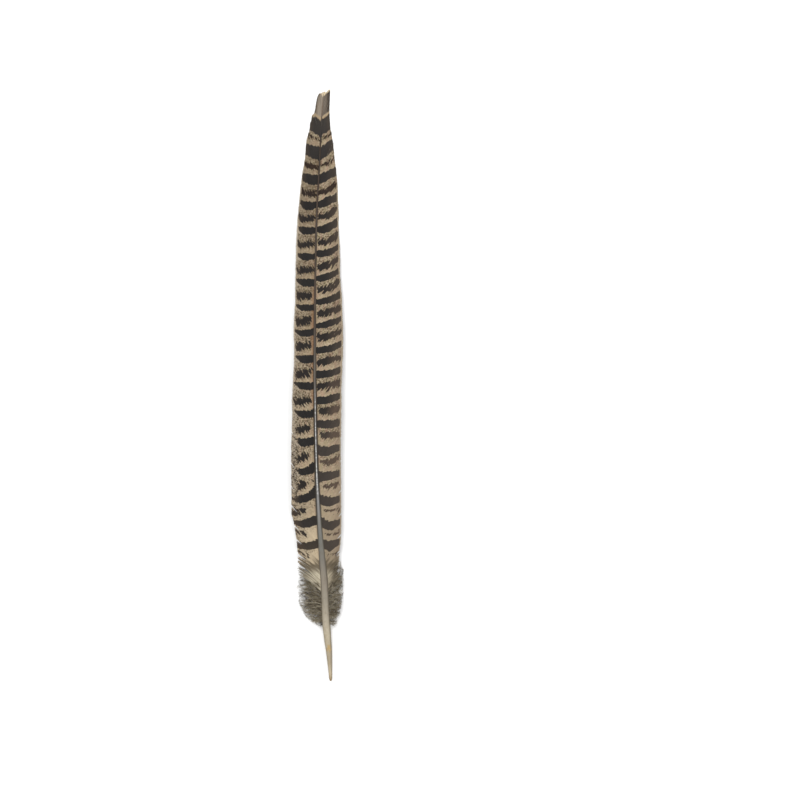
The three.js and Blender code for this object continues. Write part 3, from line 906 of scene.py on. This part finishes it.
    # pale ground: a little greyer and speckled under the bar, clean above the next
    ground = n.ramp(
        f,
        [(0.0, tone(172, 154, 127)), (0.29, tone(164, 147, 121)), (0.35, tone(150, 134, 110)),
         (0.46, tone(144, 129, 105)), (0.62, tone(146, 130, 105)), (0.82, tone(156, 138, 112)),
         (0.90, tone(162, 144, 118)), (0.97, tone(174, 155, 128)), (1.0, tone(172, 154, 127))],
    )  # fmt: skip
    grey = n.ramp(f, [(0.28, 0.0), (0.36, 1.0), (0.46 if left else 0.54, 1.0), (0.55 if left else 0.62, 0.25), (0.8, 0.0)])
    grit = n.noise(spot, 1450.0, 2.0, 0.55, 0.4)
    pepper = n.mul(n.span(grit, 0.53, 0.60), n.plus(n.mul(grey, 0.80), 0.20))
    ground = n.mix(n.mul(pepper, 0.90), ground, tone(70, 58, 42))
    salt = n.mul(n.span(grit, 0.47, 0.39), 0.60)
    ground = n.mix(salt, ground, tone(200, 184, 158))
    # a slow change of warmth from patch to patch
    hue = n.noise(n.vector(n.mul(place, 0.11), n.mul(along, 0.35), 31.0), 1.0, 2.0, 0.5)
    ground = n.mix(n.mul(n.span(hue, 0.47, 0.66), 0.42), ground, tone(172, 138, 116))
    ground = n.mix(n.mul(n.span(hue, 0.50, 0.32), 0.38), ground, tone(156, 144, 104))
    # paler low on the feather and towards the outer edge
    ground = n.mix(n.mul(n.span(row, 430.0, 535.0), 0.65), ground, tone(186, 168, 140))
    if left:
        ground = n.mix(n.mul(n.span(row, 512.0, 540.0), 0.80), ground, tone(212, 193, 162))
    else:
        ground = n.mix(n.mul(n.span(row, 505.0, 532.0), 0.50), ground, tone(146, 130, 109))
    if left:
        ground = n.mix(n.mul(n.span(w, 0.45, 0.80), 0.35), ground, tone(168, 153, 132))
        ground = n.mix(n.mul(n.span(row, 130.0, 165.0), n.span(row, 470.0, 280.0, 0.0, 0.50)), ground, tone(116, 100, 78))
        ground = n.mix(n.mul(pepper, n.span(row, 190.0, 240.0, 0.15, 0.50)), ground, tone(62, 51, 38))
        ground = n.mix(n.mul(salt, 0.35), ground, tone(196, 182, 156))
        clean = n.mul(n.span(f, 0.83, 0.92), n.span(row, 215.0, 260.0))
        ground = n.mix(n.mul(clean, 0.14), ground, tone(206, 184, 148))
        warm = n.mul(n.span(w, 0.03, 0.27, 1.0, 0.0), n.span(row, 250.0, 330.0, 0.15, 0.80))
        warm = n.mul(warm, n.span(row, 430.0, 385.0, 0.25, 1.0))
        ground = n.mix(warm, ground, tone(142, 102, 70))
        ground = n.mix(n.mul(margin, 0.75), ground, tone(180, 167, 148))
        dots = n.mul(n.span(grit, 0.53, 0.60), n.mul(n.span(w, 0.35, 0.75), n.span(row, 230.0, 390.0)))
        ground = n.mix(n.mul(dots, 0.62), ground, tone(78, 64, 48))
        # painted highlight: a pale rim along the left edge, where the barb tips catch the light
        painted_lit_rim = n.mul(n.span(w, 0.935, 0.985), n.mul(n.span(row, 150.0, 185.0), n.span(row, 450.0, 400.0)))
        ground = n.mix(n.mul(painted_lit_rim, 0.72), ground, tone(208, 197, 180))
    else:
        warm = n.mul(n.span(w, 0.02, 0.14, 1.0, 0.0), n.span(row, 250.0, 480.0, 0.1, 0.35))
        ground = n.mix(warm, ground, tone(150, 122, 92))
        outer = n.mul(n.span(w, 0.55, 0.92), n.span(row, 190.0, 260.0))
        ground = n.mix(n.mul(outer, 0.40), ground, tone(136, 116, 98))
        ground = n.mix(n.mul(margin, 0.80), ground, tone(172, 158, 136))

    # the dark: near black, browner outside on the right and greyer at the foot
    dark = n.ramp(
        n.mul(row, 0.001),
        [(0.10, tone(66, 61, 55)), (0.14, tone(56, 52, 49)), (0.16, tone(50, 46, 43)), (0.20, tone(38, 35, 33)),
         (0.44, tone(36, 34, 32)), (0.51, tone(42, 38, 35)), (0.53, tone(52, 47, 42)), (0.548, tone(66, 58, 48)),
         (0.56, tone(84, 75, 62))],
    )  # fmt: skip
    if left:
        dark = n.mix(n.mul(n.span(w, 0.60, 0.95), n.span(row, 380.0, 460.0, 0.30, 0.60)), dark, tone(88, 72, 57))
    else:
        outward = n.mul(n.span(w, 0.30, 0.95), n.span(row, 380.0, 430.0, 0.62, 0.90))
        dark = n.mix(outward, dark, tone(82, 71, 61))
        dark = n.mix(n.span(row, 395.0, 450.0, 0.0, 0.55), dark, tone(78, 69, 61))
        browned = n.span(w, 0.35, 0.75, n.span(row, 430.0, 462.0, 0.0, 0.80), 1.0)
        browned = n.mul(n.mul(in_broken, browned), n.span(row, 330.0, 440.0, 0.12, 0.72))
        dark = n.mix(browned, dark, tone(106, 88, 74))
    dark = n.mix(n.mul(in_broken, n.span(row, 180.0, 215.0, 0.9, 0.15)), dark, tone(50, 35, 25))
    colour = n.mix(dark_mask, ground, dark)

    # low down, the dark runs along the shaft and joins the bars: partly the web's own dark colour, partly painted shade
    # beside the raised rachis
    sheath_and_shade = n.mul(n.span(n.minus(w, n.span(row, 430.0, 500.0, 0.0, 0.035)), 0.11, 0.045), n.mul(n.span(row, 385.0, 425.0), n.span(row, 576.0, 558.0)))
    colour = n.mix(n.mul(sheath_and_shade, 0.88), colour, tone(58, 53, 46))

    # the worn end above the first bar: buff against the bar, then satin grey-brown
    end = n.span(step, 1.005, 0.985, 0.0, 1.0)
    ragged = n.plus(step, n.mul(n.minus(teeth, 0.5), 0.10))
    satin = n.ramp(
        w,
        [(0.0, tone(156, 145, 131)), (0.45, tone(158, 145, 129)), (0.76, tone(136, 123, 107)),
         (0.88, tone(88, 76, 62)), (1.0, tone(72, 60, 48))]
        if left
        else [(0.0, tone(140, 130, 118)), (0.10, tone(116, 105, 94)), (0.50, tone(104, 93, 82)),
              (0.66, tone(74, 64, 56)), (1.0, tone(58, 50, 43))],
    )  # fmt: skip
    streaks = n.noise(n.vector(n.mul(place, 0.9), n.mul(along, 0.12), 2.0), 1.0, 2.0, 0.6)
    satin = n.mix(n.mul(n.span(streaks, 0.50, 0.66), 0.50), satin, tone(178, 166, 150))
    satin = n.mix(n.mul(n.span(streaks, 0.50, 0.34), 0.42), satin, tone(92, 80, 66))
    buff = n.ramp(
        ragged,
        [(0.0, tone(200, 178, 144)), (0.10, tone(224, 206, 172)), (0.17, tone(216, 198, 164)),
         (0.5, tone(170, 150, 122)), (0.88, tone(176, 156, 128)), (0.97, tone(184, 163, 132)),
         (1.0, tone(158, 134, 106))],
    )  # fmt: skip
    in_satin = n.mul(n.span(ragged, 0.14, 0.18), n.span(ragged, 0.915, 0.87))
    end_colour = n.mix(in_satin, buff, satin)
    colour = n.mix(end, colour, end_colour)

    # the foot: a dark band of loose barbs, then paler ones that run into the down
    low = n.plus(row, n.mul(n.minus(teeth, 0.5), 10.0))
    low = n.plus(low, n.mul(n.minus(own, 0.5), 5.0))
    colour = n.mix(n.mul(n.span(low, 559.5, 563.5), 0.88), colour, tone(108, 98, 80))
    fan = n.mul(n.span(low, 567.5, 574.0), n.span(w, 0.90, 0.40, 0.25, 1.0))
    colour = n.mix(n.mul(fan, 0.92 if left else 0.74), colour, tone(224, 213, 187) if left else tone(206, 194, 169))
    strands = n.mul(n.span(own, 0.52, 0.72), n.span(low, 550.0, 568.0))
    colour = n.mix(n.mul(strands, 0.55), colour, tone(102, 90, 71))

    # each barb and each patch a little lighter or darker
    shade = n.plus(n.span(own, 0.0, 1.0, -0.06, 0.06, "LINEAR"), n.mul(n.minus(broad, 0.5), 0.30))
    shade = n.plus(shade, 1.0)
    hsv = n.add("ShaderNodeHueSaturation")
    n.put(hsv.inputs["Value"], shade)
    n.put(hsv.inputs["Color"], colour)
    colour = hsv.outputs["Color"]
    # the under side is duller and greyer
    under = n.number("under")
    colour = n.mix(n.mul(under, 0.45), colour, tone(128, 118, 104))

    rough = n.plus(0.55, n.mul(n.minus(fingers, 0.5), 0.25))
    rough = n.minus(rough, n.mul(dark_mask, 0.05))
    grain = n.noise(n.vector(n.mul(number, 2.0), n.mul(along, 7.0), 0.0), 1.0, 1.0, 0.5)
    n.bump(grain, 0.25, 0.00003)
    n.bsdf.inputs["Specular IOR Level"].default_value = 0.14
    n.bsdf.inputs["Sheen Weight"].default_value = 0.02
    n.bsdf.inputs["Sheen Roughness"].default_value = 0.4
    return n.finish(colour, rough)


def shaft_material():
    n = Nodes("shaft")
    row, across, up = n.attribute("shaft")
    cx, cy, mm = n.attribute("round")
    streak = n.noise(n.vector(n.mul(cx, 5.0), n.mul(cy, 5.0), n.mul(mm, 0.06)), 1.0, 3.0, 0.6)
    cloud = n.noise(n.vector(n.mul(cx, 1.2), n.mul(cy, 1.2), n.mul(mm, 0.35)), 1.0, 3.0, 0.6)
    # top: the colour along the crest of the shaft; from row 0.38 to 0.50 its pale stops are a painted highlight along
    # the glossy rachis, and on the quill the lighter crest is partly painted highlight too
    top = n.ramp(
        row,
        [(0.09, tone(146, 134, 120)), (0.112, tone(132, 112, 94)), (0.120, tone(60, 56, 54)),
         (0.136, tone(58, 53, 51)), (0.142, tone(66, 52, 41)), (0.160, tone(60, 54, 49)),
         (0.200, tone(72, 57, 47)), (0.230, tone(72, 64, 58)), (0.260, tone(66, 55, 45)),
         (0.290, tone(78, 63, 54)), (0.320, tone(72, 61, 51)), (0.350, tone(82, 74, 67)),
         (0.380, tone(108, 101, 94)), (0.410, tone(172, 168, 165)), (0.440, tone(176, 174, 174)),
         (0.470, tone(204, 203, 199)), (0.495, tone(138, 137, 136)), (0.520, tone(126, 124, 120)),
         (0.540, tone(112, 112, 106)), (0.560, tone(122, 117, 108)), (0.580, tone(140, 131, 117)),
         (0.600, tone(150, 142, 127)), (0.620, tone(174, 164, 145)), (0.636, tone(188, 176, 151)), (0.648, tone(176, 163, 138)),
         (0.660, tone(166, 152, 128)), (0.674, tone(196, 182, 154)), (0.681, tone(150, 120, 80))],
    )  # fmt: skip
    # sides: the flanks, darker than the crest: partly their own colour, partly painted shade of the rounded shaft,
    # darkest beside the painted highlight
    sides = n.ramp(
        row,
        [(0.09, tone(120, 108, 96)), (0.115, tone(104, 84, 68)), (0.122, tone(48, 45, 42)),
         (0.136, tone(46, 42, 40)), (0.145, tone(54, 43, 34)), (0.20, tone(60, 48, 39)),
         (0.26, tone(55, 46, 38)), (0.32, tone(58, 49, 41)), (0.38, tone(57, 51, 44)),
         (0.41, tone(48, 42, 35)), (0.47, tone(48, 45, 40)), (0.50, tone(74, 72, 68)),
         (0.52, tone(86, 85, 79)), (0.54, tone(92, 89, 81)), (0.56, tone(104, 98, 88)),
         (0.58, tone(118, 110, 96)), (0.60, tone(132, 124, 108)), (0.62, tone(150, 141, 121)),
         (0.64, tone(152, 141, 116)), (0.66, tone(150, 137, 112)), (0.681, tone(138, 108, 70))],
    )  # fmt: skip
    # underneath: whitish and horny all along
    below = n.ramp(
        row,
        [(0.09, tone(140, 128, 112)), (0.20, tone(160, 150, 134)), (0.45, tone(178, 170, 154)),
         (0.57, tone(182, 172, 152)), (0.65, tone(190, 176, 146)), (0.681, tone(150, 120, 80))],
    )  # fmt: skip
    # half: how far across the shaft the crest colour, with its painted highlight, reaches; ridge is 1 there and 0 on
    # the flanks with their painted shade
    half = n.ramp(row, [(0.34, 0.44), (0.38, 0.20), (0.47, 0.20), (0.50, 0.44), (0.54, 0.62), (0.62, 0.74)])
    off = n.plus(n.math("ABSOLUTE", n.plus(across, 0.02)), n.mul(n.minus(streak, 0.5), 0.30))
    ridge = n.span(n.minus(off, half), 0.13, -0.13)
    colour = n.mix(ridge, sides, top)
    # painted shade: the right side of the shaft darker from row 0.5 down, as if lit from the left
    right = n.mul(n.span(across, 0.2, 0.9), n.span(row, 0.48, 0.52))
    colour = n.mix(n.mul(right, 0.35), colour, tone(84, 76, 62))
    line = n.plus(up, n.mul(n.minus(streak, 0.5), 0.5))
    colour = n.mix(n.span(line, -0.35, -0.75), colour, below)
    # pale scuffs, and darker clouds within the horn
    colour = n.mix(n.mul(n.span(streak, 0.54, 0.72), 0.22), colour, tone(188, 178, 160))
    colour = n.mix(n.mul(n.span(cloud, 0.50, 0.70), 0.22), colour, tone(104, 92, 74))
    # painted highlight: broken glints painted into the colour along the crest of the glossy rachis, with darker flecks
    # between them
    painted_glint_noise = n.noise(n.vector(n.mul(cx, 2.2), n.mul(cy, 2.2), n.mul(mm, 0.95)), 1.0, 2.0, 0.5)
    painted_highlight_band = n.mul(n.mul(n.span(row, 0.385, 0.410), n.span(row, 0.505, 0.480)), n.mul(ridge, n.span(up, 0.0, 0.4)))
    colour = n.mix(n.mul(n.mul(n.span(painted_glint_noise, 0.49, 0.63), painted_highlight_band), 0.62), colour, tone(238, 238, 236))
    colour = n.mix(n.mul(n.mul(n.span(painted_glint_noise, 0.50, 0.37), painted_highlight_band), 0.55), colour, tone(112, 110, 108))
    # the stain on the quill
    far = n.math("ABSOLUTE", n.minus(n.mul(row, 1000.0), 648.0))
    far = n.plus(far, n.mul(n.math("ABSOLUTE", n.minus(across, 0.15)), 4.5))
    blot = n.noise(n.vector(n.mul(cx, 2.4), n.mul(cy, 2.4), n.mul(mm, 1.1)), 1.0, 2.0, 0.6)
    stain = n.mul(n.span(n.plus(far, n.mul(n.minus(blot, 0.5), 14.0)), 5.0, 2.5), n.span(up, 0.0, 0.5))
    colour = n.mix(n.mul(stain, 0.62), colour, tone(186, 150, 80))
    # grime and dried skin on the quill
    flecks = n.noise(n.vector(n.mul(cx, 3.4), n.mul(cy, 3.4), n.mul(mm, 0.9)), 1.0, 3.0, 0.6)
    quill = n.span(row, 0.585, 0.615)
    colour = n.mix(n.mul(n.mul(n.span(flecks, 0.56, 0.68), quill), 0.26), colour, tone(124, 110, 84))
    colour = n.mix(n.mul(n.mul(n.span(flecks, 0.44, 0.34), quill), 0.20), colour, tone(216, 206, 182))
    # painted shade: dark inside the small hole at the quill's end
    colour = n.mix(n.span(n.number("hole"), 0.4, 1.0), colour, tone(70, 52, 34))
    rough = n.ramp(row, [(0.10, 0.62), (0.36, 0.58), (0.42, 0.40), (0.50, 0.40), (0.64, 0.50)])
    rough = n.plus(rough, n.mul(n.minus(cloud, 0.5), 0.22))
    n.bump(n.plus(streak, n.mul(cloud, 0.5)), 0.35, 0.00006)
    n.bsdf.inputs["Specular IOR Level"].default_value = 0.16
    n.bsdf.inputs["IOR"].default_value = 1.5
    return n.finish(colour, rough)


def down_material():
    n = Nodes("down")
    s, own, out = n.attribute("tone")
    # the barbs' tones, dark to pale: partly their own colour, and in the darker tones partly painted shade among the
    # tangled barbs
    colour = n.ramp(
        own,
        [(0.0, tone(74, 63, 48)), (0.28, tone(107, 95, 74)), (0.50, tone(144, 131, 106)),
         (0.75, tone(200, 187, 159)), (0.90, tone(216, 204, 177)), (0.97, tone(220, 209, 184))],
    )  # fmt: skip
    root = n.mul(n.span(s, 0.0, 0.30, 1.0, 0.0), n.span(own, 0.3, 0.8))
    colour = n.mix(n.mul(root, 0.5), colour, tone(188, 178, 156))
    colour = n.mix(n.mul(n.span(s, 0.45, 1.0), 0.22), colour, tone(112, 101, 82))
    colour = n.mix(n.mul(out, 0.18), colour, tone(146, 132, 110))
    patch = n.noise(n.vector(n.mul(s, 7.0), n.mul(own, 40.0), 0.0), 1.0, 2.0, 0.5)
    colour = n.mix(n.mul(n.span(patch, 0.45, 0.7), 0.45), colour, tone(84, 75, 58))
    rough = n.plus(0.70, n.mul(n.minus(patch, 0.5), 0.2))
    n.bump(patch, 0.1, 0.00002)
    n.bsdf.inputs["Specular IOR Level"].default_value = 0.15
    n.bsdf.inputs["Sheen Weight"].default_value = 0.05
    return n.finish(colour, rough)


web_left.data.materials.append(web_material("left"))
web_right.data.materials.append(web_material("right"))
shaft.data.materials.append(shaft_material())
down_mat = down_material()
for ob in (down_left, down_right):
    ob.data.materials.append(down_mat)

for ob, slot in (
    (web_left, "vane"),
    (web_right, "vane"),
    (shaft, "shaft"),
    (down_left, "down"),
    (down_right, "down"),
):
    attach(ob, "root")
    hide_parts("feather")


# ---- floor, light, camera ----------------------------------------------------------------
def make_floor():
    n = Nodes("floor")
    spots = n.add("ShaderNodeTexCoord")
    soft = n.noise(spots.outputs["Object"], 60.0, 3.0, 0.6)
    colour = n.mix(soft, (0.86, 0.86, 0.86, 1.0), (0.89, 0.89, 0.885, 1.0))
    n.bsdf.inputs["Specular IOR Level"].default_value = 0.1
    mat = n.finish(colour, n.plus(0.85, n.mul(soft, 0.05)))
    me = bpy.data.meshes.new("floor")
    r = 3.0
    me.from_pydata([(-r, -r, -0.0002), (r, -r, -0.0002), (r, r, -0.0002), (-r, r, -0.0002)], [], [(0, 1, 2, 3)])
    ob = bpy.data.objects.new("floor", me)
    bpy.context.scene.collection.objects.link(ob)
    me.materials.append(mat)


make_floor()


def area(name, at, size, power, aim=(0.0, 0.0, 0.0)):
    light = bpy.data.lights.new(name, "AREA")
    light.shape = "DISK"
    light.size = size
    light.energy = power
    ob = bpy.data.objects.new(name, light)
    bpy.context.scene.collection.objects.link(ob)
    from mathutils import Vector

    ob.location = at
    ob.rotation_mode = "QUATERNION"
    ob.rotation_quaternion = (Vector(at) - Vector(aim)).to_track_quat("Z", "Y")
    return ob


area("key", (-0.35, 0.55, 1.35), 0.9, 16.0)
area("fill", (0.9, -0.5, 1.2), 1.2, 8.0)

world = bpy.data.worlds.new("room")
bpy.context.scene.world = world
world.use_nodes = True
back = world.node_tree.nodes["Background"]
back.inputs["Color"].default_value = (1.0, 1.0, 1.0, 1.0)
back.inputs["Strength"].default_value = 0.75

scene = bpy.context.scene
scene.view_settings.view_transform = "Standard"
scene.view_settings.look = "None"

# straight above, so that the feather lies in the frame where it does in the photograph
cam = bpy.data.cameras.new("camera")
cam.lens = 170.0
cam.sensor_width = 36.0
cam_ob = bpy.data.objects.new("camera", cam)
scene.collection.objects.link(cam_ob)
high = 800 * PX * MM * 170.0 / 36.0
cam_ob.location = (
    (400.0 - PX_X0) * PX * MM,
    ((PX_Y0 - 400.0) * PX + QUILL_END) * MM,
    high + 0.001,
)
cam_ob.rotation_euler = (0.0, 0.0, 0.0)
cam.clip_start, cam.clip_end = 0.01, 10.0
scene.camera = cam_ob
